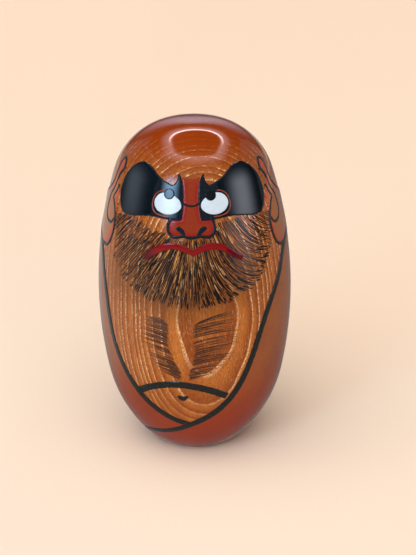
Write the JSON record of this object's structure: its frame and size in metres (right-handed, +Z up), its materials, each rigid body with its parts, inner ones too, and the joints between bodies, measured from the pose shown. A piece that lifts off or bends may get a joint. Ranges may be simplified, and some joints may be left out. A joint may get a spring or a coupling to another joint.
{
  "type": "daruma doll",
  "caption": "Free-standing turned wooden daruma doll with a painted face, a long brushed beard and a red-brown robe, glossy varnish and a flat foot.",
  "frame": {"origin": "centre of the flat foot, in its plane", "axes": "+Z up along the turning axis; the face looks along -Y; +X is to the viewer's right"},
  "size_m": [0.0692, 0.0692, 0.12],
  "materials": {
    "wood": "stained open-grained hardwood, clear gloss varnish",
    "robe": "red-brown lacquer, gloss",
    "line_black": "greyish black brushed paint under clear gloss",
    "ink_black": "black paint under clear gloss",
    "pupil_black": "black paint, high gloss",
    "eye_white": "white paint under clear gloss",
    "lid_red": "thin red-brown paint line",
    "nose_red": "thin red paint under clear gloss",
    "mouth_red": "crimson paint under clear gloss",
    "ear_red": "thin red wash under clear gloss",
    "beard": "dark brown-black brushed hair strokes under clear gloss",
    "chest_hair": "dry-brushed dark brown under clear gloss"
  },
  "bodies": {
    "root": {"turned_body": "wood", "robe_lacquer": "robe", "collar_line_right": "line_black", "collar_line_left": "line_black", "belly_line": "line_black", "navel_mark": "line_black", "chest_hair_right": "chest_hair", "chest_hair_left": "chest_hair", "nose_red": "nose_red", "beard": "beard", "nose_outline": "ink_black", "nose_crease": "ink_black", "mouth": "mouth_red", "brow_left": "ink_black", "eye_white_left": "eye_white", "pupil_left": "pupil_black", "eyelid_line_left": "lid_red", "nostril_left": "ink_black", "ear_red_left": "ear_red", "ear_outline_left": "line_black", "brow_right": "ink_black", "eye_white_right": "eye_white", "pupil_right": "pupil_black", "eyelid_line_right": "lid_red", "nostril_right": "ink_black", "ear_red_right": "ear_red", "ear_outline_right": "line_black"}
  },
  "joints": []
}
